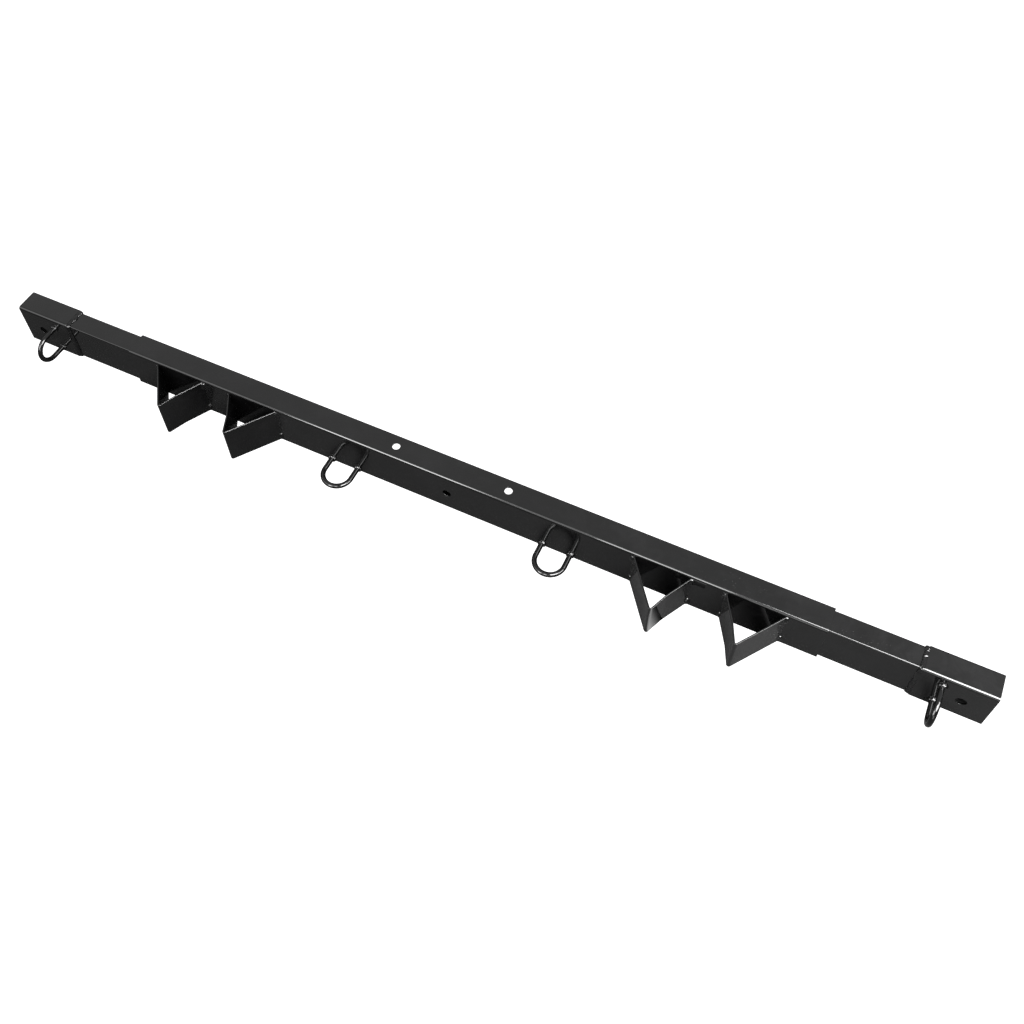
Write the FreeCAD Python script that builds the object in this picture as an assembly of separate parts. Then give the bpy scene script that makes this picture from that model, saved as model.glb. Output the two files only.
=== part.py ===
import FreeCAD, Part
import math
import os

Vec = FreeCAD.Vector

# Spreader beam: a rectangular main tube with a sliding extension tube in each end, a welded
# sleeve on each extension, four V brackets and four rod loops on the front.
# X runs along the beam, -Y is the front, +Z is up. The origin is the middle of the centre hole's
# mouth, on the main tube's front face. All sizes are in millimetres.

# Rectangular section shared by the main tube and the end sleeves
tube_depth = 50.0
tube_height = 100.0
tube_wall = 3.0
tube_corner = 6.0
main_length = 1422.0

# Extension tubes: they slide in the main tube
slide_gap = 1.0
exposed_length = 157.5
inserted_length = 430.0
extension_wall = 3.0

# End sleeves: each sits round the end of its extension tube, with a pin hole through both tubes
sleeve_length = 120.5
mouth_recess = 3.0
pin_hole_diameter = 19.0
pin_hole_to_mouth = 47.0

# Holes in the main tube
centre_hole_diameter = 17.0
top_hole_diameter = 15.0
top_hole_spacing = 231.0
window_length = 60.0
window_height = 40.0
window_corner = 10.0
window_centre_z = 10.0

# V brackets: flat bar bent once at the tip, with a slight set in the shorter leg
bar_set_back = 6.5
bar_thickness = 3.0
tip_reach = 83.5
tip_bend_radius = 1.5
set_bend_radius = 12.0
long_leg_run = 62.0
short_leg_run = 43.0
short_leg_set = 2.6
short_leg_set_at = 0.58
outer_bracket_tip = 579.0
inner_bracket_tip = 430.0

# Rod loops
rod_diameter = 10.0
loop_inside_width = 47.0
loop_reach = 61.0
centre_loop_x = 223.0
centre_loop_rise = 11.0
end_loop_inset = 84.0
end_loop_z = -4.0

# Welds
sleeve_weld_length = 9.0
sleeve_weld_edge = 0.7
bracket_weld_leg = 5.0
bracket_weld_length = 20.0
loop_weld_leg = 3.6

# Sizes that follow from the ones above
half_main = main_length / 2
extension_depth = tube_depth - 2 * (tube_wall + slide_gap)
extension_height = tube_height - 2 * (tube_wall + slide_gap)
extension_corner = tube_corner - tube_wall
sleeve_inner_x = half_main + exposed_length
beam_end_x = sleeve_inner_x + sleeve_length
extension_outer_x = beam_end_x - mouth_recess
extension_inner_x = half_main - inserted_length
pin_hole_x = beam_end_x - pin_hole_to_mouth
loop_radius = (loop_inside_width + rod_diameter) / 2
axis_y = tube_depth / 2
bar_width = tube_height - 2 * bar_set_back
centre_loop_z = centre_loop_rise - tube_height / 2


def rounded_bar(x_start, x_end, depth, height, corner):
    """Solid bar along X with rounded long edges, centred on the beam's axis."""
    half_y = depth / 2
    half_z = height / 2
    quarters = ((1, 1), (-1, 1), (-1, -1), (1, -1))
    edges = []
    ends = []
    for step, (side_y, side_z) in enumerate(quarters):
        centre = Vec(x_start, axis_y + side_y * (half_y - corner), side_z * (half_z - corner))
        start_angle = math.radians(90 * step)
        points = []
        for turn in (0, 45, 90):
            angle = start_angle + math.radians(turn)
            points.append(centre + Vec(0, corner * math.cos(angle), corner * math.sin(angle)))
        edges.append(Part.Arc(*points).toShape())
        ends.append((points[0], points[2]))
    for step in range(4):
        edges.append(Part.makeLine(ends[step][1], ends[(step + 1) % 4][0]))
    wire = Part.Wire(Part.__sortEdges__(edges))
    return Part.Face(wire).extrude(Vec(x_end - x_start, 0, 0))


def rectangular_tube(x_start, x_end, depth, height, wall, corner):
    """Hollow rectangular tube along X, open at both ends."""
    outside = rounded_bar(x_start, x_end, depth, height, corner)
    inner_corner = max(corner - wall, 0.8)
    inside = rounded_bar(x_start - 1, x_end + 1, depth - 2 * wall, height - 2 * wall, inner_corner)
    return outside.cut(inside)


def hole_along_y(x, z, diameter, y_start, y_end):
    """Round cutter from y_start to y_end."""
    return Part.makeCylinder(diameter / 2, y_end - y_start, Vec(x, y_start, z), Vec(0, 1, 0))


def window_cutter(x_centre):
    """Round-cornered cutter through the back wall only."""
    low_x = x_centre - window_length / 2
    low_z = window_centre_z - window_height / 2
    block = Part.makeBox(window_length, 3 * tube_wall, window_height,
                         Vec(low_x, tube_depth - 2 * tube_wall, low_z))
    uprights = [edge for edge in block.Edges
                if abs(edge.tangentAt(edge.FirstParameter).y) > 0.99]
    return block.makeFillet(window_corner, uprights)


def main_tube():
    """Main tube with its centre hole, two top holes and the two windows in its back wall."""
    body = rectangular_tube(-half_main, half_main, tube_depth, tube_height, tube_wall, tube_corner)
    body = body.cut(hole_along_y(0, 0, centre_hole_diameter, -tube_wall, 2 * tube_wall))
    for side in (-1, 1):
        x = side * top_hole_spacing / 2
        body = body.cut(Part.makeCylinder(top_hole_diameter / 2, 4 * tube_wall,
                                          Vec(x, axis_y, tube_height / 2 - 2 * tube_wall)))
        body = body.cut(window_cutter(x))
    return body


def pin_hole_cutter():
    """Cutter for the cross pin's hole, right through the sleeve and the extension tube in it."""
    return hole_along_y(pin_hole_x, 0, pin_hole_diameter, -tube_wall, tube_depth + tube_wall)


def extension_tube():
    """Right-hand extension tube, from inside the main tube to just inside its sleeve's mouth."""
    body = rectangular_tube(extension_inner_x, extension_outer_x, extension_depth,
                            extension_height, extension_wall, extension_corner)
    return body.cut(pin_hole_cutter())


def end_sleeve():
    """Right-hand sleeve with the pin hole through its front and back walls."""
    body = rectangular_tube(sleeve_inner_x, beam_end_x, tube_depth, tube_height,
                            tube_wall, tube_corner)
    return body.cut(pin_hole_cutter())


def sleeve_weld():
    """Bead all round the right-hand extension tube where the sleeve ends."""
    x_thin = sleeve_inner_x - sleeve_weld_length
    rise = tube_wall + slide_gap - sleeve_weld_edge
    sections = []
    for x, height_of_bead in ((x_thin, sleeve_weld_edge), (sleeve_inner_x, rise)):
        grown_depth = extension_depth + 2 * height_of_bead
        grown_height = extension_height + 2 * height_of_bead
        bar = rounded_bar(x, x + 1, grown_depth, grown_height, extension_corner + height_of_bead)
        face = min(bar.Faces, key=lambda item: item.CenterOfMass.x)
        sections.append(face.OuterWire)
    bead = Part.makeLoft(sections, True, True)
    core = rounded_bar(x_thin - 1, sleeve_inner_x + 1, extension_depth, extension_height,
                       extension_corner)
    return bead.cut(core)


def unit(vector):
    """Copy of a vector with length one."""
    return vector * (1 / vector.Length)


def bent_bar(points, inner_radii, thickness, low_z, high_z):
    """Flat bar standing on edge, carried along a bent centre line in the XY plane."""
    half = thickness / 2
    solids = []
    start = points[0]
    for index in range(1, len(points) - 1):
        corner = points[index]
        into = unit(corner - points[index - 1])
        away = unit(points[index + 1] - corner)
        turn = into.getAngle(away)
        radius = inner_radii[index - 1] + half
        setback = radius * math.tan(turn / 2)
        bend_start = corner - into * setback
        bend_end = corner + away * setback
        solids.append(bar_between(start, bend_start, half, low_z, high_z))
        side = 1 if into.cross(away).z > 0 else -1
        to_centre = Vec(-into.y, into.x, 0) * side
        centre = bend_start + to_centre * radius
        middle = unit(corner - centre)
        arcs = []
        for reach in (radius - half, radius + half):
            ends = [centre + unit(spot - centre) * reach for spot in (bend_start, bend_end)]
            arcs.append((ends[0], centre + middle * reach, ends[1]))
        inner, outer = arcs
        ring = Part.Wire([Part.Arc(*inner).toShape(), Part.makeLine(inner[2], outer[2]),
                          Part.Arc(*outer).toShape(), Part.makeLine(outer[0], inner[0])])
        ring.translate(Vec(0, 0, low_z))
        solids.append(Part.Face(ring).extrude(Vec(0, 0, high_z - low_z)))
        start = bend_end
    solids.append(bar_between(start, points[-1], half, low_z, high_z))
    return solids[0].multiFuse(solids[1:]).removeSplitter()


def bar_between(start, end, half, low_z, high_z):
    """Straight stretch of flat bar between two points."""
    along = unit(end - start)
    across = Vec(-along.y, along.x, 0) * half
    corners = [start + across, end + across, end - across, start - across, start + across]
    outline = Part.makePolygon([Vec(spot.x, spot.y, low_z) for spot in corners])
    return Part.Face(outline).extrude(Vec(0, 0, high_z - low_z))


def bracket_line(tip_x, short_side):
    """Centre line of a V bracket: long foot, tip, set in the short leg, short foot."""
    long_foot = Vec(tip_x - short_side * long_leg_run, 0, 0)
    short_foot = Vec(tip_x + short_side * short_leg_run, 0, 0)
    spread = math.atan(long_leg_run / tip_reach) + math.atan(short_leg_run / tip_reach)
    centre_radius = tip_bend_radius + bar_thickness / 2
    sharp_tip_y = bar_thickness / 2 - tip_reach - centre_radius * (1 / math.sin(spread / 2) - 1)
    tip = Vec(tip_x, sharp_tip_y, 0)
    leg = tip - short_foot
    inward = Vec(leg.y, -leg.x, 0) * (1 / leg.Length)
    if inward.x * short_side > 0:
        inward = inward * -1
    kink = short_foot + leg * short_leg_set_at + inward * short_leg_set
    return [long_foot, tip, kink, short_foot]


def bracket(tip_x, short_side):
    """V bracket with both feet cut flush with the front face."""
    points = bracket_line(tip_x, short_side)
    run_on = 2 * bar_thickness
    points[0] = points[0] + unit(points[0] - points[1]) * run_on
    points[-1] = points[-1] + unit(points[-1] - points[-2]) * run_on
    radii = [tip_bend_radius, set_bend_radius]
    bar = bent_bar(points, radii, bar_thickness, -bar_width / 2, bar_width / 2)
    bounds = bar.BoundBox
    behind = Part.makeBox(bounds.XLength + 20, 50, bounds.ZLength + 20,
                          Vec(bounds.XMin - 10, 0, bounds.ZMin - 10))
    return bar.cut(behind)


def bracket_welds(tip_x, short_side):
    """Four short fillets: top and bottom of each foot, on the outside of the V."""
    points = bracket_line(tip_x, short_side)
    beads = []
    for foot, towards in ((points[0], points[1]), (points[-1], points[-2])):
        outward = 1 if foot.x > tip_x else -1
        along = unit(towards - foot)
        half_on_face = bar_thickness / 2 / abs(along.y)
        root = Vec(foot.x + outward * half_on_face, 0, 0)
        triangle = [root, root + Vec(outward * bracket_weld_leg, 0, 0),
                    root + along * bracket_weld_leg, root]
        for low_z in (-bar_width / 2, bar_width / 2 - bracket_weld_length):
            outline = Part.makePolygon([Vec(spot.x, spot.y, low_z) for spot in triangle])
            beads.append(Part.Face(outline).extrude(Vec(0, 0, bracket_weld_length)))
    return Part.makeCompound(beads)


def rod_loop(centre, spread_direction):
    """U of round rod whose two legs stand on the front face, spread_direction apart."""
    out = Vec(0, -1, 0)
    rod_radius = rod_diameter / 2
    straight = loop_reach - rod_radius - loop_radius
    pieces = []
    for side in (-1, 1):
        foot = centre + spread_direction * (side * loop_radius)
        pieces.append(Part.makeCylinder(rod_radius, straight, foot, out))
    bend_centre = centre + out * straight
    rod_section = Part.makeCircle(rod_radius, bend_centre + spread_direction * loop_radius, out)
    normal = spread_direction.cross(out)
    bend = Part.Face(Part.Wire(rod_section)).revolve(bend_centre, normal, 180)
    pieces.append(bend)
    return pieces[0].multiFuse(pieces[1:]).removeSplitter()


def loop_welds(centre, spread_direction):
    """Bead round each leg of a loop."""
    rod_radius = rod_diameter / 2
    beads = []
    for side in (-1, 1):
        foot = centre + spread_direction * (side * loop_radius)
        cone = Part.makeCone(rod_radius + loop_weld_leg, rod_radius + 0.5, loop_weld_leg, foot,
                             Vec(0, -1, 0))
        rod = Part.makeCylinder(rod_radius, 3 * loop_weld_leg, foot + Vec(0, loop_weld_leg, 0),
                                Vec(0, -1, 0))
        beads.append(cone.cut(rod))
    return Part.makeCompound(beads)


def mirrored(shape):
    """The same piece on the left-hand side."""
    return shape.mirror(Vec(0, 0, 0), Vec(1, 0, 0))


right_side = {
    "extension_tube": extension_tube(),
    "end_sleeve": end_sleeve(),
    "sleeve_weld": sleeve_weld(),
    "outer_bracket": bracket(outer_bracket_tip, -1),
    "outer_bracket_welds": bracket_welds(outer_bracket_tip, -1),
    "inner_bracket": bracket(inner_bracket_tip, 1),
    "inner_bracket_welds": bracket_welds(inner_bracket_tip, 1),
    "centre_loop": rod_loop(Vec(centre_loop_x, 0, centre_loop_z), Vec(1, 0, 0)),
    "centre_loop_welds": loop_welds(Vec(centre_loop_x, 0, centre_loop_z), Vec(1, 0, 0)),
    "end_loop": rod_loop(Vec(beam_end_x - end_loop_inset, 0, end_loop_z), Vec(0, 0, 1)),
    "end_loop_welds": loop_welds(Vec(beam_end_x - end_loop_inset, 0, end_loop_z), Vec(0, 0, 1)),
}

os.makedirs("parts", exist_ok=True)
main_tube().exportStep("parts/main_tube.step")
for name, shape in right_side.items():
    shape.exportStep("parts/right_" + name + ".step")
    mirrored(shape).exportStep("parts/left_" + name + ".step")
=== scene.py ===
import math

import bmesh
import bpy
import numpy as np
from mathutils import Euler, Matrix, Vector


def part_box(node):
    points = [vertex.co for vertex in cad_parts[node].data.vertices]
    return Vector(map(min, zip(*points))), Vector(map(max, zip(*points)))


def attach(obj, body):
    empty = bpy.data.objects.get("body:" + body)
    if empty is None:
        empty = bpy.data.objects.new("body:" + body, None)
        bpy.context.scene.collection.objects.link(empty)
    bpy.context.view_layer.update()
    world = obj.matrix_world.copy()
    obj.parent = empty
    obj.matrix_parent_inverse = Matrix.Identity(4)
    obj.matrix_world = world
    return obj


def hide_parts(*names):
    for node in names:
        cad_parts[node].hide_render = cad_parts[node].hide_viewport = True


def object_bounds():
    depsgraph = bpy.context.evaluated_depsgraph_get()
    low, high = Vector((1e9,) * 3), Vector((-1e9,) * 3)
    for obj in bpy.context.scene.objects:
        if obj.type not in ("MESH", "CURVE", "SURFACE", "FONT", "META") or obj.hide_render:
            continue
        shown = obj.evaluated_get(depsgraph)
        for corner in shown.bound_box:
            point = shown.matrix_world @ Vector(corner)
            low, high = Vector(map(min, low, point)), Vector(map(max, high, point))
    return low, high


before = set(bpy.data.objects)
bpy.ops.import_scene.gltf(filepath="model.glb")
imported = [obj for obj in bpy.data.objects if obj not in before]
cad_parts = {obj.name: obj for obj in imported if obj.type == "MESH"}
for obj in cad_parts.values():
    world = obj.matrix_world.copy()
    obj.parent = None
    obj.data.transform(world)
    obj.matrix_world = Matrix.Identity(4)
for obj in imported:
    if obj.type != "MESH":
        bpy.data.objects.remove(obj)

# Spreader beam: a painted rectangular tube with a sliding extension in each end, a welded sleeve
# on each extension, four V brackets and four rod loops. Metres, in the frame of the CAD model:
# X along the beam, -Y the front, +Z up, and the origin in the centre hole's mouth.
cadLow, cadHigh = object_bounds()
mm = 0.001
print("stage: frame loaded,", len(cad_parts), "nodes")


def gridFaces(countU, countV, closedU=False, closedV=False):
    # Quads between neighbouring points of a countU x countV grid, wrapping round where it is closed.
    i = np.arange(countU if closedU else countU - 1)
    j = np.arange(countV if closedV else countV - 1)
    i, j = np.meshgrid(i, j, indexing="ij")
    nextI, nextJ = (i + 1) % countU, (j + 1) % countV
    quads = np.stack([i * countV + j, nextI * countV + j, nextI * countV + nextJ, i * countV + nextJ], -1)
    return quads.reshape(-1, 4)


def gridPart(points, closedU=False, closedV=False):
    # One grid of points as a part: its points in a row and its faces.
    return points.reshape(-1, 3), gridFaces(points.shape[0], points.shape[1], closedU, closedV)


# Points this close become one, and edges shorter than this go. Edges past the angle, in degrees,
# are drawn sharp; a bead of weld metal is smoother.
joining = {"merge": 2e-6, "tooShort": 1e-7, "sharpAngle": 40, "beadSharpAngle": 80}
sides = ((1, "right"), (-1, "left"))


def pieceName(hand, name, ending):
    # right, inner_bracket and Bar give rightInnerBracketBar.
    return hand + name.title().replace("_", "") + ending


def makePiece(name, parts, side, body, node, material, sharpAngle=joining["sharpAngle"]):
    # Joins the parts, mirrors them to the left when side is -1, merges points that coincide, so that
    # seams and poles close, turns faces outwards, hangs the piece on its body, hides the CAD node
    # it replaces and gives it its finish.
    starts = np.cumsum([0] + [len(part[0]) for part in parts])
    points = np.concatenate([part[0] for part in parts]) * (side, 1, 1)
    faces = np.concatenate([part[1] + start for part, start in zip(parts, starts)])
    mesh = bpy.data.meshes.new(name)
    mesh.from_pydata(points.tolist(), [], faces.tolist())
    work = bmesh.new()
    work.from_mesh(mesh)
    bmesh.ops.remove_doubles(work, verts=work.verts, dist=joining["merge"])
    bmesh.ops.dissolve_degenerate(work, edges=work.edges, dist=joining["tooShort"])
    bmesh.ops.recalc_face_normals(work, faces=work.faces)
    work.to_mesh(mesh)
    work.free()
    mesh.polygons.foreach_set("use_smooth", np.ones(len(mesh.polygons), bool))
    mesh.set_sharp_from_angle(angle=math.radians(sharpAngle))
    mesh.materials.append(material)
    piece = bpy.data.objects.new(name, mesh)
    bpy.context.scene.collection.objects.link(piece)
    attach(piece, body)
    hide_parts(node)
    return piece


def lumps(u, v, seed, count, fastest):
    # Smooth uneven value from about -1 to 1: a sum of plane waves of random direction and phase.
    random = np.random.default_rng(seed)
    rate = random.uniform(0.15, 1, count) * fastest
    turn = random.uniform(0, 2 * math.pi, count)
    phase = random.uniform(0, 2 * math.pi, count)
    waves = np.cos(u[..., None] * rate * np.cos(turn) + v[..., None] * rate * np.sin(turn) + phase)
    return waves.sum(-1) / math.sqrt(count)


def sectionPath(halfA, halfB, rowsA, rowsB, arcSteps):
    # Closed path round a rectangle of half sizes halfA x halfB with a quarter turn at each corner.
    # It gives base points on the rectangle and the outward angle at each, so that
    # section = base + radius * (cos angle, sin angle).
    quarter = np.linspace(0, math.pi / 2, arcSteps + 1)[1:-1]
    baseA, baseB, angle = [], [], []
    corners = ((-halfA, halfB), (halfA, halfB), (halfA, -halfB), (-halfA, -halfB))
    runs = ((np.full(len(rowsB), -halfA), rowsB), (rowsA, np.full(len(rowsA), halfB)),
            (np.full(len(rowsB), halfA), rowsB[::-1]), (rowsA[::-1], np.full(len(rowsA), -halfB)))
    for step, ((cornerA, cornerB), (runA, runB)) in enumerate(zip(corners, runs)):
        facing = math.pi - step * math.pi / 2
        baseA += [runA, np.full(len(quarter), cornerA)]
        baseB += [runB, np.full(len(quarter), cornerB)]
        angle += [np.full(len(runA), facing), facing - quarter]
    return np.concatenate(baseA), np.concatenate(baseB), np.concatenate(angle)


# What the grids need: rounding, the two tolerances of a row's place, the steps of a rounded lip, the
# flat ring round a hole in lips, and the smallest radius inside a tube's corner.
gridLimits = {"decimals": 7, "hair": 1e-9, "nearly": 1e-7, "lipSteps": 3, "apron": 2.5,
              "leastInner": 0.05 * mm}
supportRow, thinSupportRow = 0.6 * mm, 0.2 * mm  # how close a row lies to the end of a wide and a thin flat


def rows(half, support, *inside):
    # Positions across a flat from -half to half, with one close to each end to keep the flat flat.
    found = np.concatenate([[-half, -half + support, half - support, half], *inside])
    return np.unique(np.round(found, gridLimits["decimals"]))


def loopRound(half, corner, alongU, alongV, offset=0.0):
    # Closed loop round a rounded rectangle grown by offset. Each side runs from the middle of one
    # corner arc to the middle of the next, at the shares alongU or alongV of its length.
    corner = corner + offset
    us, vs = [], []
    for step in range(4):
        share = (alongU, alongV, 1 - alongU[::-1], 1 - alongV[::-1])[step][:-1]
        reach, stand = (half if step % 2 == 0 else half[::-1])
        reach, stand = reach + offset, stand + offset
        if corner > 0:
            arc, run = corner * math.pi / 4, 2 * (reach - corner)
            gone = share * (2 * arc + run)
            turned = np.clip(gone, 0, arc) + np.clip(gone - arc - run, 0, arc)
            angle = -0.75 * math.pi + turned / corner
            u = corner - reach + np.clip(gone - arc, 0, run) + corner * np.cos(angle)
            v = corner - stand + corner * np.sin(angle)
        else:
            u, v = -reach + share * 2 * reach, np.full(len(share), -stand)
        turnedU, turnedV = ((u, v), (-v, u), (-u, -v), (v, -u))[step]
        us.append(turnedU)
        vs.append(turnedV)
    return np.concatenate(us), np.concatenate(vs)


def tubeParts(lowX, highX, low, high, shape, stations, rowsY, rowsZ, openings):
    # Rectangular tube with both faces, rounded lips at its ends, and its openings.
    # point(s, v) = (x(v), base(s) + radius(v) * outward(s)): radius is the corner radius outside and
    # the corner radius less the wall inside. Cells under an opening give way to a band of rings
    # that runs from the outer face through the hole to the inner face.
    corner, wall, edge = shape["corner"], shape["wall"], shape["edge"]
    hair, nearly = gridLimits["hair"], gridLimits["nearly"]
    middle = (low + high) / 2
    half = (high - low) / 2 - corner
    inner = max(corner - wall, gridLimits["leastInner"])
    baseY, baseZ, angle = sectionPath(half[0], half[1], rowsY, rowsZ, shape["arcSteps"])
    bend = np.linspace(0, math.pi / 2, gridLimits["lipSteps"] + 1)
    endRows = [lowX + edge, lowX + 3 * edge, highX - 3 * edge, highX - edge]
    outX = np.unique(np.round(np.concatenate([stations, endRows]), gridLimits["decimals"]))
    outX = outX[(outX >= lowX + edge - hair) & (outX <= highX - edge + hair)]
    lipX = edge * np.sin(bend[1:])
    lipR = edge * (1 - np.cos(bend[1:]))
    x = np.concatenate([outX, highX - edge + lipX, highX - edge + lipX[::-1], outX[::-1],
                        lowX + edge - lipX, lowX + edge - lipX[::-1]])
    flat = np.ones(len(outX))
    radius = np.concatenate([flat * corner, corner - lipR, inner + lipR[::-1], flat * inner,
                             inner + lipR, corner - lipR[::-1]])
    y = middle[0] + baseY[:, None] + radius[None] * np.cos(angle)[:, None]
    z = middle[1] + baseZ[:, None] + radius[None] * np.sin(angle)[:, None]
    points, faces = gridPart(np.stack([np.broadcast_to(x, y.shape), y, z], -1), True, True)
    parts = []
    for hole in openings:
        centreU, centreV = hole["centre"]
        blockU, blockV = hole["half"][0] + hole["margin"], hole["half"][1] + hole["margin"]
        across = middle[0] + rowsY if hole["wall"] == "top" else middle[1] + rowsZ
        alongU = outX[(outX > centreU - blockU - nearly) & (outX < centreU + blockU + nearly)]
        alongV = across[(across > centreV - blockV - nearly) & (across < centreV + blockV + nearly)]
        alongU = (alongU - alongU[0]) / (alongU[-1] - alongU[0])
        alongV = (alongV - alongV[0]) / (alongV[-1] - alongV[0])
        centres = points[faces].mean(1)
        axisV, axisDepth, face, sign = {"front": (2, 1, low[0], 1), "back": (2, 1, high[0], -1),
                                        "top": (1, 2, high[1], -1)}[hole["wall"]]
        depth = (centres[:, axisDepth] - face) * sign
        under = ((abs(centres[:, 0] - centreU) < blockU) & (abs(centres[:, axisV] - centreV) < blockV)
                 & (depth > -edge) & (depth < wall + edge))
        faces = faces[~under]
        lip = hole["lip"]
        arcOut, arcIn = lip * (1 - np.sin(bend)), lip * (1 - np.cos(bend))
        apron = gridLimits["apron"] * lip
        offsets = np.concatenate([[apron], arcOut, arcOut[::-1], [apron]])
        depths = np.concatenate([[0], arcIn, wall - arcIn[::-1], [wall]])
        rings = [loopRound((blockU, blockV), 0, alongU, alongV)]
        rings += [loopRound(hole["half"], hole["corner"], alongU, alongV, offset) for offset in offsets]
        rings.append(rings[0])
        rings = np.array(rings)
        depths = np.concatenate([[0], depths, [wall]])
        band = np.zeros((len(rings), rings.shape[2], 3))
        band[..., 0] = centreU + rings[:, 0]
        band[..., axisV] = centreV + rings[:, 1]
        band[..., axisDepth] = face + sign * depths[:, None]
        parts.append(gridPart(band, False, True))
    return [(points, faces)] + parts


def roundedPath(corners, radii, arcSteps, runSteps):
    # Straight runs between corner points, with an arc of the given radius at each inner corner.
    # It gives the points along the line and the unit direction at each.
    corners = [np.array(corner, float) for corner in corners]
    points, directions = [], []
    start = corners[0]
    for index in range(1, len(corners)):
        into = corners[index] - corners[index - 1]
        into = into / np.linalg.norm(into)
        if index == len(corners) - 1:
            share = np.linspace(0, 1, runSteps + 1)[:, None]
            points.append(start + share * (corners[index] - start))
            directions.append(np.repeat(into[None], runSteps + 1, 0))
            continue
        away = corners[index + 1] - corners[index]
        away = away / np.linalg.norm(away)
        turn = math.acos(np.clip(into @ away, -1, 1))
        radius = radii[index - 1]
        setback = radius * math.tan(turn / 2)
        bendStart = corners[index] - into * setback
        side = np.sign(into[0] * away[1] - into[1] * away[0])
        toCentre = np.array([-into[1], into[0]]) * side
        centre = bendStart + toCentre * radius
        share = np.linspace(0, 1, runSteps + 1)[:-1, None]
        points.append(start + share * (bendStart - start))
        directions.append(np.repeat(into[None], runSteps, 0))
        angle = np.linspace(0, turn, arcSteps + 1)[:-1, None]
        points.append(centre - toCentre * radius * np.cos(angle) + into * radius * np.sin(angle))
        directions.append(into * np.cos(angle) + toCentre * np.sin(angle))
        start = corners[index] + away * setback
    return np.concatenate(points), np.concatenate(directions)


class Wire:
    # One value in a material's node tree. Arithmetic on it adds Math nodes.
    def __init__(self, tree, socket=None):
        self.tree = tree
        self.socket = socket

    def node(self, kind, settings=None, inputs=None, output=0):
        # Any other node: its settings first, then the values or links of its inputs.
        made = self.tree.nodes.new(kind)
        for name, value in (settings or {}).items():
            setattr(made, name, value)
        for name, value in (inputs or {}).items():
            if isinstance(value, Wire):
                self.tree.links.new(value.socket, made.inputs[name])
            else:
                made.inputs[name].default_value = value
        return Wire(self.tree, made.outputs[output])

    def maths(self, operation, first, second=0.0):
        return self.node("ShaderNodeMath", {"operation": operation}, {0: first, 1: second})

    def __add__(self, other):
        return self.maths("ADD", self, other)

    def __sub__(self, other):
        return self.maths("SUBTRACT", self, other)

    def __rsub__(self, other):
        return self.maths("SUBTRACT", other, self)

    def __mul__(self, other):
        return self.maths("MULTIPLY", self, other)

    __radd__ = __add__
    __rmul__ = __mul__

    def above(self, low, high):
        # Rises smoothly from 0 at low to 1 at high.
        return self.node("ShaderNodeMapRange", {"interpolation_type": "SMOOTHSTEP"},
                         {"Value": self, "From Min": low, "From Max": high})


# Sizes of the finish's texture are in millimetres, and heights are how deep each one is.
tubePaint = {"colour": (0.0008, 0.0008, 0.00083), "dust": (0.0030, 0.0030, 0.0031), "roughness": 0.34,
             "roughnessSwing": 0.12, "coat": 1.0, "coatRoughness": 0.04, "peelSize": 3.4, "peelHeight": 0.005,
             "waveSize": 60, "waveHeight": 0.09, "grainSize": 0.8, "grainHeight": 0.0004, "specular": 0.08}
barPaint = dict(tubePaint, roughness=0.38, peelSize=4.2, peelHeight=0.006, waveSize=45, waveHeight=0.10,
                grainSize=0.9, grainHeight=0.0004)
rodPaint = dict(tubePaint, roughness=0.26, coat=0.9, coatRoughness=0.04, peelSize=3.0, peelHeight=0.012,
                waveSize=25, waveHeight=0.04)
weldPaint = dict(tubePaint, roughness=0.28, coat=0.9, coatRoughness=0.06, peelSize=2.6, peelHeight=0.02,
                 waveSize=9, waveHeight=0.12, grainSize=0.7, grainHeight=0.003)


# Each noise is its size, detail, distortion and shift, and each range is where it starts and is full.
dustPattern = {"patchNoise": (110, 4, 0.6, 0.37), "patchRange": (0.42, 0.7), "patchShare": 0.5,
               "speckleNoise": (1.6, 2, 0.0, 0.11), "speckleRange": (0.58, 0.72), "speckleShare": 0.25,
               "smearNoise": (24, 5, 1.2, 0.73), "smearRange": (0.4, 0.75), "smearShare": 0.25,
               "roughMiddle": 0.6}
spatterPattern = {"fade": (0.3, 1.0), "dropRange": (0.12, 0.42), "clumpNoise": (11, 2, 0.0, 0.9),
                  "clumpRange": (0.46, 0.6), "roughening": 0.08}
shelter = {"fade": 0.5 * mm, "roughening": 0.6}
perMetre = 1000  # millimetres, in which the paint's sizes are


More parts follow.
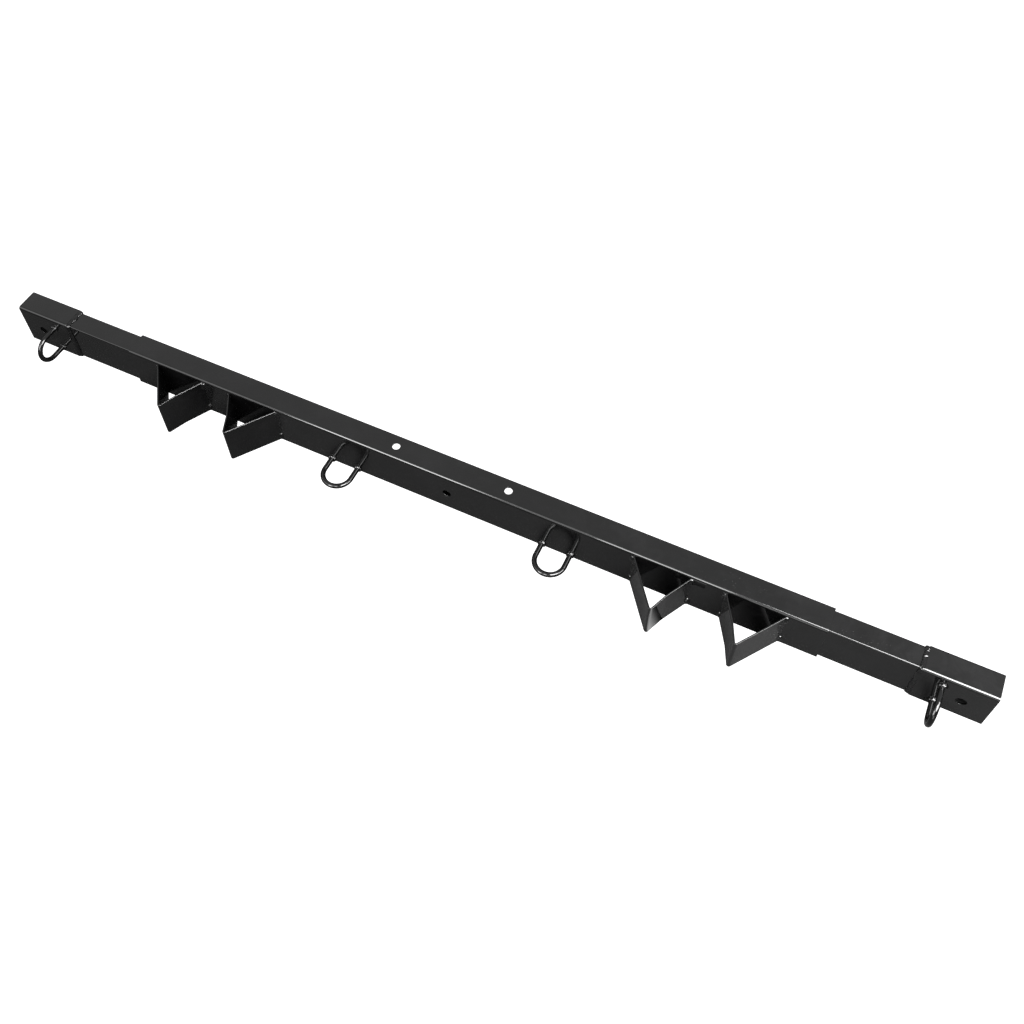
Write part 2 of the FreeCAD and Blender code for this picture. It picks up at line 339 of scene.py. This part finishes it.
def glossPaint(name, look, spatter=None, sheltered=None):
    # Black gloss paint: orange peel, slow waves of the steel under it, fine grain, dust in patches.
    material = bpy.data.materials.new(name)
    material.use_nodes = True
    tree = material.node_tree
    shader = tree.nodes["Principled BSDF"]
    start = Wire(tree)
    place = start.node("ShaderNodeTexCoord", output="Object")

    def noise(size, detail=2.0, distortion=0.0, shift=0.0):
        moved = start.node("ShaderNodeVectorMath", {"operation": "ADD"}, {0: place, 1: (shift,) * 3})
        return start.node("ShaderNodeTexNoise", {},
                          {"Vector": moved, "Scale": perMetre / size, "Detail": detail,
                           "Roughness": 0.5, "Distortion": distortion})

    patches = noise(*dustPattern["patchNoise"]).above(*dustPattern["patchRange"])
    speckle = noise(*dustPattern["speckleNoise"]).above(*dustPattern["speckleRange"])
    smears = noise(*dustPattern["smearNoise"]).above(*dustPattern["smearRange"])
    dust = (patches * dustPattern["patchShare"] + speckle * dustPattern["speckleShare"]
            + smears * dustPattern["smearShare"])
    colour = start.node("ShaderNodeMix", {"data_type": "RGBA"},
                        {"Factor": dust, 6: (*look["colour"], 1), 7: (*look["dust"], 1)}, output=2)
    uneven = smears + patches - dustPattern["roughMiddle"]
    roughness = look["roughness"] + look["roughnessSwing"] * uneven
    height = (look["waveHeight"] * noise(look["waveSize"], 1)
              + look["peelHeight"] * noise(look["peelSize"], 3, 0.3)
              + look["grainHeight"] * noise(look["grainSize"], 1, 0.0, 0.5))
    if spatter:
        # Weld spatter: small raised drops in patches near a point.
        pattern = spatterPattern
        away = start.node("ShaderNodeVectorMath", {"operation": "SUBTRACT"},
                          {0: place, 1: spatter["centre"]})
        away = start.node("ShaderNodeVectorMath", {"operation": "MULTIPLY"}, {0: away, 1: spatter["spread"]})
        far = start.node("ShaderNodeVectorMath", {"operation": "LENGTH"}, {0: away}, output="Value")
        near = 1 - far.above(*pattern["fade"])
        cells = start.node("ShaderNodeTexVoronoi", {"feature": "F1"},
                           {"Vector": place, "Scale": perMetre / spatter["size"]}, output="Distance")
        clumps = noise(*pattern["clumpNoise"]).above(*pattern["clumpRange"])
        drops = (1 - cells.above(*pattern["dropRange"])) * clumps * near
        height = height + drops * spatter["height"]
        roughness = roughness + drops * pattern["roughening"]
    if sheltered:
        # Past this distance from mid-length the tube is inside its sleeve, where no gloss coat reaches.
        along = start.node("ShaderNodeSeparateXYZ", {}, {0: place}, output="X")
        hidden = along.maths("ABSOLUTE", along).above(sheltered - shelter["fade"], sheltered)
        tree.links.new((look["coat"] * (1 - hidden)).socket, shader.inputs["Coat Weight"])
        roughness = roughness + hidden * shelter["roughening"]
    bump = start.node("ShaderNodeBump", {}, {"Strength": 1.0, "Distance": mm, "Height": height})
    tree.links.new(colour.socket, shader.inputs["Base Color"])
    tree.links.new(roughness.socket, shader.inputs["Roughness"])
    tree.links.new(bump.socket, shader.inputs["Normal"])
    shader.inputs["Specular IOR Level"].default_value = look["specular"]
    shader.inputs["Coat Weight"].default_value = look["coat"]
    shader.inputs["Coat Roughness"].default_value = look["coatRoughness"]
    return material


mainSpatter = {"centre": (0.53, 0.022, 0.05), "spread": (7, 34, 60), "size": 4.6, "height": 0.45}
mainFinish = glossPaint("mainTubeGlossPaint", tubePaint, mainSpatter)
tubeFinish = glossPaint("tubeGlossPaint", tubePaint)
barFinish = glossPaint("barGlossPaint", barPaint)
rodFinish = glossPaint("rodGlossPaint", rodPaint)
weldFinish = glossPaint("weldGlossPaint", weldPaint)
print("stage: materials")


tubeShape = {"corner": 6 * mm, "wall": 3 * mm, "edge": 0.4 * mm, "arcSteps": 10}
mainHoles = {"centreDiameter": 17 * mm, "topDiameter": 15 * mm, "topSpacing": 231 * mm, "margin": 5 * mm,
             "windowLength": 60 * mm, "windowHeight": 40 * mm, "windowCorner": 10 * mm, "windowZ": 10 * mm,
             "lip": 0.5 * mm, "steps": 12}
crossCuts = {"main": 41, "extension": 17, "sleeve": 5}  # evenly spaced cuts along each tube


def boxYz(node):
    # Lowest and highest (y, z) of a CAD node, and its lowest and highest x.
    low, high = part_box(node)
    return np.array(low)[1:], np.array(high)[1:], low.x, high.x


def blockRows(centre, half, steps):
    # Even rows from half below the centre to half above it.
    return np.linspace(centre - half, centre + half, steps + 1)


def buildMainTube():
    low, high, lowX, highX = boxYz("main_tube")
    middleY = (low[0] + high[0]) / 2
    steps, margin, lip = mainHoles["steps"], mainHoles["margin"], mainHoles["lip"]
    centreRadius = mainHoles["centreDiameter"] / 2
    openings = [{"wall": "front", "centre": (0.0, 0.0), "half": (centreRadius, centreRadius),
                 "corner": centreRadius}]
    topRadius = mainHoles["topDiameter"] / 2
    window = (mainHoles["windowLength"] / 2, mainHoles["windowHeight"] / 2)
    for side in (-1, 1):
        x = side * mainHoles["topSpacing"] / 2
        openings.append({"wall": "top", "centre": (x, middleY), "half": (topRadius, topRadius),
                         "corner": topRadius})
        openings.append({"wall": "back", "centre": (x, mainHoles["windowZ"]), "half": window,
                         "corner": mainHoles["windowCorner"]})
    for hole in openings:
        hole.update(margin=margin, lip=lip)
    stations = np.concatenate([np.linspace(lowX, highX, crossCuts["main"])[1:-1]] + [
        blockRows(hole["centre"][0], hole["half"][0] + margin, steps) for hole in openings])
    half = (high - low) / 2 - tubeShape["corner"]
    rowsZ = rows(half[1], supportRow, blockRows(0, centreRadius + margin, steps),
                 blockRows(mainHoles["windowZ"], window[1] + margin, steps))
    rowsY = rows(half[0], supportRow, blockRows(0, topRadius + margin, steps))
    parts = tubeParts(lowX, highX, low, high, tubeShape, stations, rowsY, rowsZ, openings)
    return makePiece("mainTubeShell", parts, 1, "beam", "main_tube", mainFinish)


buildMainTube()
print("stage: main tube")


extensionShape = {"corner": 3 * mm, "wall": 3 * mm, "edge": 0.4 * mm, "arcSteps": 8}
sleeveHoles = {"diameter": 19 * mm, "toMouth": 47 * mm, "margin": 5 * mm, "lip": 0.3 * mm, "steps": 12}
rightSpatter = {"centre": (0.79, 0.012, 0.046), "spread": (9, 42, 60), "size": 4.2, "height": 0.5}
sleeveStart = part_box("right_end_sleeve")[0].x
extensionFinish = {1: glossPaint("rightExtensionGlossPaint", tubePaint, rightSpatter, sleeveStart),
                   -1: glossPaint("leftExtensionGlossPaint", tubePaint, None, sleeveStart)}


def pinHoles():
    # The cross pin's holes, the same in the sleeve and in the extension tube, with their grid rows.
    radius, margin, steps = sleeveHoles["diameter"] / 2, sleeveHoles["margin"], sleeveHoles["steps"]
    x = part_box("right_end_sleeve")[1].x - sleeveHoles["toMouth"]
    openings = [{"wall": wall, "centre": (x, 0.0), "half": (radius, radius), "corner": radius,
                 "margin": margin, "lip": sleeveHoles["lip"]} for wall in ("front", "back")]
    return openings, blockRows(x, radius + margin, steps), blockRows(0, radius + margin, steps)


def buildEndTube(side, hand, tube, name, shape, cuts, finish):
    # A tube that slides with the extension: the extension tube itself, or the sleeve welded on it.
    low, high, lowX, highX = boxYz("right_" + tube)
    half = (high - low) / 2 - shape["corner"]
    openings, holeStations, holeRows = pinHoles()
    stations = np.concatenate([np.linspace(lowX, highX, cuts)[1:-1], holeStations])
    parts = tubeParts(lowX, highX, low, high, shape, stations, rows(half[0], supportRow, [0.0]),
                      rows(half[1], supportRow, holeRows), openings)
    makePiece(hand + name, parts, side, hand + "_extension", hand + "_" + tube, finish)


# Waves are the count of the plane waves that make the lumps, and rates how fast they change.
sleeveBead = {"reach": 7.8 * mm, "most": 8.7 * mm, "rise": 3.7 * mm, "pitch": 4.8 * mm, "ripple": 0.4 * mm,
              "unevenness": 0.8 * mm, "perMillimetre": 2.6, "arcSteps": 14, "acrossSteps": 12,
              "lumpScale": 6, "waves": 24, "rate": 3.2, "fineWaves": 30, "fineRate": 9.0, "trail": 2.2,
              "trailUneven": 0.9, "reachUneven": 1.2, "riseUneven": 0.4, "riseRipple": 0.6,
              "deepest": 0.7 * mm, "highest": 0.35 * mm, "fullness": 0.82, "sunk": 0.1 * mm,
              "behind": 0.2 * mm, "buried": 0.3 * mm}


def buildSleeveWeld(side, hand, seed):
    # Bead round the extension at the sleeve's inner end. Round the tube by s and across the bead by
    # angle a: point = root corner - reach * cos(a) along X, rise * sin(a) outwards, both made uneven
    # by lumps and by arcs of ripple that trail back from the crown.
    shape = sleeveBead
    low, high = boxYz("right_extension_tube")[:2]
    corner = extensionShape["corner"]
    middle, half = (low + high) / 2, (high - low) / 2 - corner
    density = shape["perMillimetre"] / mm
    rowsA = np.linspace(-half[0], half[0], int(2 * half[0] * density))
    rowsB = np.linspace(-half[1], half[1], int(2 * half[1] * density))
    baseY, baseZ, angle = sectionPath(half[0], half[1], rowsA, rowsB, shape["arcSteps"])
    ringY = baseY + corner * np.cos(angle)
    ringZ = baseZ + corner * np.sin(angle)
    steps = np.hypot(np.diff(ringY, append=ringY[0]), np.diff(ringZ, append=ringZ[0]))
    gone = np.concatenate([[0], np.cumsum(steps)[:-1]])
    total = steps.sum()
    ripples = round(total / shape["pitch"])
    turn = gone / total * 2 * math.pi
    across = np.linspace(0, math.pi / 2, shape["acrossSteps"])
    turnGrid, acrossGrid = np.meshgrid(turn, across, indexing="ij")
    around, over = np.cos(turnGrid) * shape["lumpScale"], np.sin(turnGrid) * shape["lumpScale"]
    uneven = lumps(around, over, seed, shape["waves"], shape["rate"])
    fine = lumps(around + acrossGrid, over - acrossGrid, seed + 1, shape["fineWaves"], shape["fineRate"])
    trail = turnGrid * ripples + shape["trail"] * np.cos(2 * acrossGrid) + shape["trailUneven"] * uneven
    ripple = shape["ripple"] * (1 - 2 * abs(np.sin(trail / 2)))
    reach = np.minimum(shape["reach"] + shape["reachUneven"] * shape["unevenness"] * uneven + ripple,
                       shape["most"])
    rise = shape["rise"] + np.clip(shape["riseUneven"] * shape["unevenness"] * (uneven + fine)
                                   + shape["riseRipple"] * ripple, -shape["deepest"], shape["highest"])
    x = sleeveStart - reach * np.cos(acrossGrid) ** shape["fullness"]
    out = rise * np.sin(acrossGrid) ** shape["fullness"] - shape["sunk"]
    hiddenX = np.full((len(turn), 2), sleeveStart + shape["behind"])
    x = np.concatenate([x, hiddenX, x[:, :1]], 1)
    out = np.concatenate([out, out[:, -1:], np.full((len(turn), 2), -shape["buried"])], 1)
    radius = corner + out
    y = middle[0] + baseY[:, None] + radius * np.cos(angle)[:, None]
    z = middle[1] + baseZ[:, None] + radius * np.sin(angle)[:, None]
    parts = [gridPart(np.stack([x, y, z], -1), True, True)]
    makePiece(hand + "SleeveBead", parts, side, hand + "_extension", hand + "_sleeve_weld", weldFinish,
              joining["beadSharpAngle"])


for side, hand in sides:
    buildEndTube(side, hand, "extension_tube", "ExtensionShell", extensionShape, crossCuts["extension"],
                 extensionFinish[side])
    buildEndTube(side, hand, "end_sleeve", "SleeveShell", tubeShape, crossCuts["sleeve"], tubeFinish)
    buildSleeveWeld(side, hand, 11 + side)
print("stage: extensions, sleeves and their beads")


# Reach is how far the tip stands out, legReach how far the long leg's middle line does.
bracketShape = {"thickness": 3 * mm, "tipRadius": 1.5 * mm, "setRadius": 12 * mm, "longRun": 62 * mm,
                "shortRun": 43 * mm, "reach": 83.5 * mm, "legReach": 82.9 * mm, "set": 2.6 * mm,
                "setAt": 0.58, "edge": 1.2 * mm, "arcSteps": 14, "runSteps": 10, "edgeSteps": 4,
                "rowsReach": 30 * mm, "rowCount": 9}
tackShape = {"leg": 5.2 * mm, "length": 19 * mm, "bulge": 0.28, "unevenness": 0.22, "pitch": 3.4 * mm,
             "upSteps": 34, "aroundSteps": 13, "squareness": 3.5, "ripple": 0.07, "trail": 1.5,
             "lumpsUp": 9, "lumpsAround": 1.6, "waves": 22, "rate": 1.6, "buried": 0.5 * mm}


def bracketLine(tipX, shortSide, reach):
    # Centre line of the bent bar: long foot, tip, the slight set in the short leg, short foot.
    shape = bracketShape
    longFoot = np.array([tipX - shortSide * shape["longRun"], 0.0])
    shortFoot = np.array([tipX + shortSide * shape["shortRun"], 0.0])
    spread = math.atan(shape["longRun"] / reach) + math.atan(shape["shortRun"] / reach)
    centreRadius = shape["tipRadius"] + shape["thickness"] / 2
    tip = np.array([tipX, shape["thickness"] / 2 - reach - centreRadius * (1 / math.sin(spread / 2) - 1)])
    leg = tip - shortFoot
    inward = np.array([leg[1], -leg[0]]) / np.linalg.norm(leg)
    inward = inward * (-1 if inward[0] * shortSide > 0 else 1)
    kink = shortFoot + leg * shape["setAt"] + inward * shape["set"]
    return [longFoot, tip, kink, shortFoot]


def buildBracket(side, hand, name, tipX, shortSide):
    # Flat bar with rounded edges carried along the bent line: point(t, s) = line(t) + width(s) * across(t)
    # + height(s) up. Both ends are cut flush with the main tube's face.
    low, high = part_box("right_" + name)
    shape = bracketShape
    corners = bracketLine(tipX, shortSide, shape["reach"])
    radii = [shape["tipRadius"] + shape["thickness"] / 2, shape["setRadius"] + shape["thickness"] / 2]
    points, directions = roundedPath(corners, radii, shape["arcSteps"], shape["runSteps"])
    edge = shape["edge"]
    halfThick, halfHigh = shape["thickness"] / 2 - edge, (high.z - low.z) / 2 - edge
    inside = np.linspace(-shape["rowsReach"], shape["rowsReach"], shape["rowCount"])
    baseA, baseB, angle = sectionPath(halfThick, halfHigh, rows(halfThick, thinSupportRow),
                                      rows(halfHigh, supportRow, inside), shape["edgeSteps"])
    wide = baseA + edge * np.cos(angle)
    tall = baseB + edge * np.sin(angle)
    across = np.stack([-directions[:, 1], directions[:, 0]], -1)
    flat = points[:, None] + wide[None, :, None] * across[:, None]
    for end in (0, -1):
        flat[end] -= directions[end] * (flat[end][:, 1:] / directions[end][1])
    bar = np.concatenate([flat, np.broadcast_to(tall[None, :, None], (*flat.shape[:2], 1))], -1)
    ends = [np.broadcast_to(bar[end].mean(0), bar[end].shape) for end in (0, -1)]
    bar = np.concatenate([ends[0][None], bar, ends[1][None]])
    makePiece(pieceName(hand, name, "Bar"), [gridPart(bar, False, True)], side, "beam",
              hand + "_" + name, barFinish)
    return corners


def tackBead(root, outward, along, lowZ, highZ, seed):
    # Fillet in the corner between the tube's face and a bar's leg. Round the corner by angle a from
    # the face to the leg, and up by height h: point = root + size(a, h) * direction(a), where size
    # follows the chord between the two legs, bulges in the middle, has lumps, and closes at the ends.
    shape = tackShape
    up = np.linspace(0, 1, shape["upSteps"])
    wedge = math.acos(np.clip(outward * along[0], -1, 1))
    around = np.linspace(0, wedge, shape["aroundSteps"])
    upGrid, aroundGrid = np.meshgrid(up, around, indexing="ij")
    length = highZ - lowZ
    chord = math.cos(wedge / 2) / np.cos(aroundGrid - wedge / 2)
    body = chord * (1 + shape["bulge"] * np.sin(math.pi * aroundGrid / wedge))
    closing = np.sqrt(np.clip(1 - abs(2 * upGrid - 1) ** shape["squareness"], 0, 1))
    ripple = shape["ripple"] * np.cos(2 * math.pi * length / shape["pitch"] * upGrid
                                      + shape["trail"] * np.cos(2 * aroundGrid))
    uneven = lumps(upGrid * shape["lumpsUp"], aroundGrid * shape["lumpsAround"], seed, shape["waves"],
                   shape["rate"])
    size = shape["leg"] * closing * body * (1 + shape["unevenness"] * uneven + ripple)
    planar = np.array([outward, 0.0]) * np.cos(aroundGrid)[..., None]
    square = np.array([along[0] - outward * math.cos(wedge), along[1]]) / math.sin(wedge)
    planar = root + size[..., None] * (planar + square * np.sin(aroundGrid)[..., None])
    heights = lowZ + length * upGrid
    bead = np.concatenate([planar, heights[..., None]], -1)
    inside = root - shape["buried"] * (np.array([outward, 0.0]) + square)
    core = np.concatenate([np.broadcast_to(inside, (len(up), 2)), (lowZ + length * up)[:, None]], -1)
    core = core[:, None]
    bead = np.concatenate([bead, core], 1)
    bead[0], bead[-1] = core[0], core[-1]
    return gridPart(bead, False, True)


def buildTacks(side, hand, name, corners, seed):
    # Four tack beads on a bracket: low and high on the outer side of each foot.
    low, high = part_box("right_" + name)
    tipX = corners[1][0]
    parts = []
    for foot, towards in ((corners[0], corners[1]), (corners[3], corners[2])):
        outward = 1.0 if foot[0] > tipX else -1.0
        along = (towards - foot) / np.linalg.norm(towards - foot)
        root = np.array([foot[0] + outward * bracketShape["thickness"] / 2 / abs(along[1]), 0.0])
        for lowZ, highZ in ((low.z, low.z + tackShape["length"]), (high.z - tackShape["length"], high.z)):
            seed += 1
            parts.append(tackBead(root, outward, along, lowZ, highZ, seed))
    makePiece(pieceName(hand, name, "Tacks"), parts, side, "beam",
              hand + "_" + name + "_welds", weldFinish,
              joining["beadSharpAngle"])


for side, hand in sides:
    for name, shortSide in (("outer_bracket", -1), ("inner_bracket", 1)):
        low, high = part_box("right_" + name)
        lean = math.atan(bracketShape["longRun"] / bracketShape["legReach"])
        halfFoot = bracketShape["thickness"] / 2 / math.cos(lean)
        longX = high.x if shortSide < 0 else low.x
        tipX = longX + shortSide * (bracketShape["longRun"] + halfFoot)
        corners = buildBracket(side, hand, name, tipX, shortSide)
        buildTacks(side, hand, name, corners, 40 + 20 * side + 7 * shortSide)
        print("   bracket", hand, name, "tip at", round(tipX * side / mm, 1))
print("stage: brackets and tacks")


rodShape = {"diameter": 10 * mm, "arcSteps": 40, "legSteps": 11, "round": 28}
footBead = {"leg": 3.4 * mm, "unevenness": 0.55 * mm, "climb": 1.25, "ripples": 9, "ripple": 0.25 * mm,
            "aroundSteps": 72, "acrossSteps": 10, "lumpScale": 2.4, "waves": 20, "rate": 1.3,
            "deepest": 1.2 * mm, "highest": 0.9 * mm, "fullness": 0.85, "sunk": 0.1 * mm,
            "buried": 0.3 * mm}


def buildLoop(side, hand, name, spread, seed):
    # Round rod carried along two straight legs and a half circle: point(t, a) = line(t)
    # + radius * (cos a * across(t) + sin a * beside). Spread is the direction from leg to leg.
    low, high = (np.array(corner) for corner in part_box("right_" + name))
    radius = rodShape["diameter"] / 2
    centre = (low + high) / 2 * (1, 0, 1)
    bend = (high - low) @ spread / 2 - radius
    straight = -low[1] - radius - bend
    turn = np.linspace(0, math.pi, rodShape["arcSteps"] + 1)
    run = np.linspace(0, 1, rodShape["legSteps"] + 1)[:-1]
    line = np.concatenate([
        np.stack([np.full(len(run), -bend), run * straight], -1),
        np.stack([-bend * np.cos(turn), straight + bend * np.sin(turn)], -1),
        np.stack([np.full(len(run), bend), straight * (1 - run)], -1)[1:],
        [[bend, 0.0]]])
    direction = np.gradient(line, axis=0)
    direction[:len(run)] = (0, 1)
    direction[-len(run):] = (0, -1)
    direction /= np.linalg.norm(direction, axis=1)[:, None]
    out = np.array([0.0, -1.0, 0.0])
    beside = np.cross(spread, out)
    angle = np.linspace(0, 2 * math.pi, rodShape["round"], endpoint=False)
    across = -direction[:, 1:] * spread + direction[:, :1] * out
    middle = centre + line[:, :1] * spread + line[:, 1:] * out
    rod = (middle[:, None] + radius * (np.cos(angle)[None, :, None] * across[:, None]
                                       + np.sin(angle)[None, :, None] * beside))
    ends = [np.broadcast_to(middle[end], rod[end].shape) for end in (0, -1)]
    rod = np.concatenate([ends[0][None], rod, ends[1][None]])
    body = "beam" if name == "centre_loop" else hand + "_extension"
    makePiece(pieceName(hand, name, "Rod"), [gridPart(rod, False, True)], side, body,
              hand + "_" + name, rodFinish)
    # Bead round each foot: round the rod by b and across the fillet by c: point = foot
    # + (rod radius + leg * cos c) outwards from the rod + climb * leg * sin c along it.
    parts = []
    shape = footBead
    b = np.linspace(0, 2 * math.pi, shape["aroundSteps"], endpoint=False)
    c = np.linspace(0, math.pi / 2, shape["acrossSteps"])
    bGrid, cGrid = np.meshgrid(b, c, indexing="ij")
    for foot in (-1, 1):
        seed += 1
        uneven = lumps(shape["lumpScale"] * np.cos(bGrid), shape["lumpScale"] * np.sin(bGrid) + cGrid,
                       seed, shape["waves"], shape["rate"])
        ripple = shape["ripple"] * np.cos(shape["ripples"] * bGrid + 2 * cGrid + uneven)
        change = np.clip(shape["unevenness"] * uneven, -shape["deepest"], shape["highest"])
        leg = shape["leg"] + change + ripple
        ring = radius + leg * np.cos(cGrid) ** shape["fullness"]
        climb = shape["climb"] * leg * np.sin(cGrid) ** shape["fullness"]
        ring = np.concatenate([ring, np.full((len(b), 2), radius - shape["buried"])], 1)
        climb = np.concatenate([climb, climb[:, -1:], np.full((len(b), 1), -shape["buried"])], 1)
        ring[:, -3] = radius - shape["sunk"]
        outwards = np.cos(b)[:, None, None] * spread + np.sin(b)[:, None, None] * beside
        bead = centre + foot * bend * spread + ring[..., None] * outwards + climb[..., None] * out
        parts.append(gridPart(bead, True, True))
    makePiece(pieceName(hand, name, "Beads"), parts, side, body,
              hand + "_" + name + "_welds", weldFinish,
              joining["beadSharpAngle"])


alongBeam, upright = np.array([1.0, 0.0, 0.0]), np.array([0.0, 0.0, 1.0])
for side, hand in sides:
    buildLoop(side, hand, "centre_loop", alongBeam, 70 + 5 * side)
    buildLoop(side, hand, "end_loop", upright, 90 + 5 * side)
print("stage: rod loops")


# Each range is where a direction's share of the room light starts and where it is full.
# The card's tone and fade make a painted reflection, darkening towards the beam as painted shade.
studio = {"floorSize": 40.0, "floorTone": 1.5, "floorDrop": 0.8 * mm, "tableTone": 0.045,
          "tableDrop": 0.4 * mm, "skyTone": 0.6, "skyHigh": (0.1, 0.45), "skyNorth": (-0.35, 0.15),
          "frontTone": 2.2, "frontHigh": (0.05, 0.35), "frontNorth": (-0.5, -0.1),
          "frontEast": (-0.1, 0.15), "roomTone": 0.07, "cardTone": 1.3, "cardDrop": 0.2 * mm,
          "cardLow": (0.438, -0.12), "cardHigh": (0.494, -0.045), "cardPaintedShadeFade": (0.046, 0.085)}
softboxes = (
    # name, where it stands, what it points at, width, height, brightness
    ("overheadRight", (1.56, -0.95, 2.25), (0.95, 0, 0), 1.4, 1.7, 31),
    ("frontLeft", (-1.055, -2.2, 1.35), (-0.3, 0, 0), 0.8, 1.3, 16),
    ("frontMiddle", (0.19, -2.0, 1.6), (0.3, 0, 0), 0.56, 1.2, 11),
    ("lowRight", (1.5, -3.0, 0.45), (0.9, 0, 0), 2.0, 1.2, 2.5),
    ("sideRight", (1.8, -0.05, 1.15), (0.5, 0, 0), 0.9, 0.8, 20),
)
cameraValues = {"place": (0.6068, -0.9851, 1.7774), "turn": (37.759, 0.675, 25.691), "lens": 40.04,
                "sensor": 36, "shift": (0.0118, -0.1127), "nearest": 0.05, "farthest": 100}


def plane(name, height, colour, glow, low=None, high=None):
    # A plain level sheet of one colour, with a glow of its own if it has one.
    reach = studio["floorSize"] / 2
    low, high = low or (-reach, -reach), high or (reach, reach)
    mesh = bpy.data.meshes.new(name)
    corners = ((low[0], low[1]), (high[0], low[1]), (high[0], high[1]), (low[0], high[1]))
    mesh.from_pydata([(x, y, height) for x, y in corners], [], [(0, 1, 2, 3)])
    sheet = bpy.data.objects.new(name, mesh)
    bpy.context.scene.collection.objects.link(sheet)
    material = bpy.data.materials.new(name)
    material.use_nodes = True
    shader = material.node_tree.nodes["Principled BSDF"]
    shader.inputs["Base Color"].default_value = (colour, colour, colour, 1)
    shader.inputs["Roughness"].default_value = 1.0
    shader.inputs["Specular IOR Level"].default_value = 0.0
    shader.inputs["Emission Color"].default_value = (1, 1, 1, 1)
    shader.inputs["Emission Strength"].default_value = glow
    mesh.materials.append(material)
    return sheet


def buildFloor():
    # The white floor is seen by the camera only. The paint mirrors a near-black table top at the same
    # height, which the camera doesn't see, and which takes the beam's soft shadow.
    floor = plane("paleFloor", cadLow.z - studio["floorDrop"], 0.0, studio["floorTone"])
    floor.visible_glossy = floor.visible_diffuse = floor.visible_shadow = False
    table = plane("tableTop", cadLow.z - studio["tableDrop"], studio["tableTone"], 0.0)
    table.visible_camera = False
    # A small glowing card beside the right inner bracket, seen only in the paint: a painted reflection,
    # which shows as a grey patch on the face beside that bracket.
    card = plane("paintedReflectionCard", cadLow.z - studio["cardDrop"], 0.0, studio["cardTone"], studio["cardLow"],
                 studio["cardHigh"])
    card.visible_camera = False
    tree = card.data.materials[0].node_tree
    place = Wire(tree).node("ShaderNodeTexCoord", output="Object")
    ahead = place.node("ShaderNodeSeparateXYZ", {}, {0: place}, output="Y") * -1.0
    # The glow fades to nothing towards the beam: painted shade, as if the beam shadowed the card.
    glow = ahead.above(*studio["cardPaintedShadeFade"])
    glow = glow.node("ShaderNodeCombineColor", {}, {0: glow, 1: glow, 2: glow})
    tree.links.new(glow.socket, tree.nodes["Principled BSDF"].inputs["Emission Color"])


def buildLights():
    # The room's own light is room + sky * sky share + front * front share, by direction.
    world = bpy.data.worlds.new("studio")
    bpy.context.scene.world = world
    world.use_nodes = True
    tree = world.node_tree
    start = Wire(tree)
    place = start.node("ShaderNodeTexCoord", output="Generated")
    east = start.node("ShaderNodeSeparateXYZ", {}, {0: place}, output="X")
    north = start.node("ShaderNodeSeparateXYZ", {}, {0: place}, output="Y")
    high = start.node("ShaderNodeSeparateXYZ", {}, {0: place}, output="Z")
    sky = high.above(*studio["skyHigh"]) * north.above(*studio["skyNorth"])
    front = (high.above(*studio["frontHigh"]) * (1 - north.above(*studio["frontNorth"]))
             * (1 - east.above(*studio["frontEast"])))
    tone = studio["roomTone"] + studio["skyTone"] * sky + studio["frontTone"] * front
    background = tree.nodes["Background"]
    background.inputs["Color"].default_value = (1, 1, 1, 1)
    tree.links.new(tone.socket, background.inputs["Strength"])
    for name, place, aim, width, height, brightness in softboxes:
        light = bpy.data.lights.new(name, "AREA")
        light.shape, light.size, light.size_y = "RECTANGLE", width, height
        light.energy = brightness * math.pi * width * height
        lamp = bpy.data.objects.new(name, light)
        bpy.context.scene.collection.objects.link(lamp)
        lamp.location = place
        lamp.rotation_euler = (Vector(aim) - Vector(place)).to_track_quat("-Z", "Y").to_euler()


def buildCamera():
    lens = bpy.data.cameras.new("camera")
    camera = bpy.data.objects.new("camera", lens)
    bpy.context.scene.collection.objects.link(camera)
    camera.location = cameraValues["place"]
    camera.rotation_euler = Euler([math.radians(angle) for angle in cameraValues["turn"]])
    lens.sensor_width = cameraValues["sensor"]
    lens.lens = cameraValues["lens"]
    lens.shift_x, lens.shift_y = cameraValues["shift"]
    lens.clip_start, lens.clip_end = cameraValues["nearest"], cameraValues["farthest"]
    bpy.context.scene.camera = camera


buildFloor()
buildLights()
buildCamera()
bpy.context.scene.view_settings.view_transform = "Standard"
print("stage: floor, light and camera")
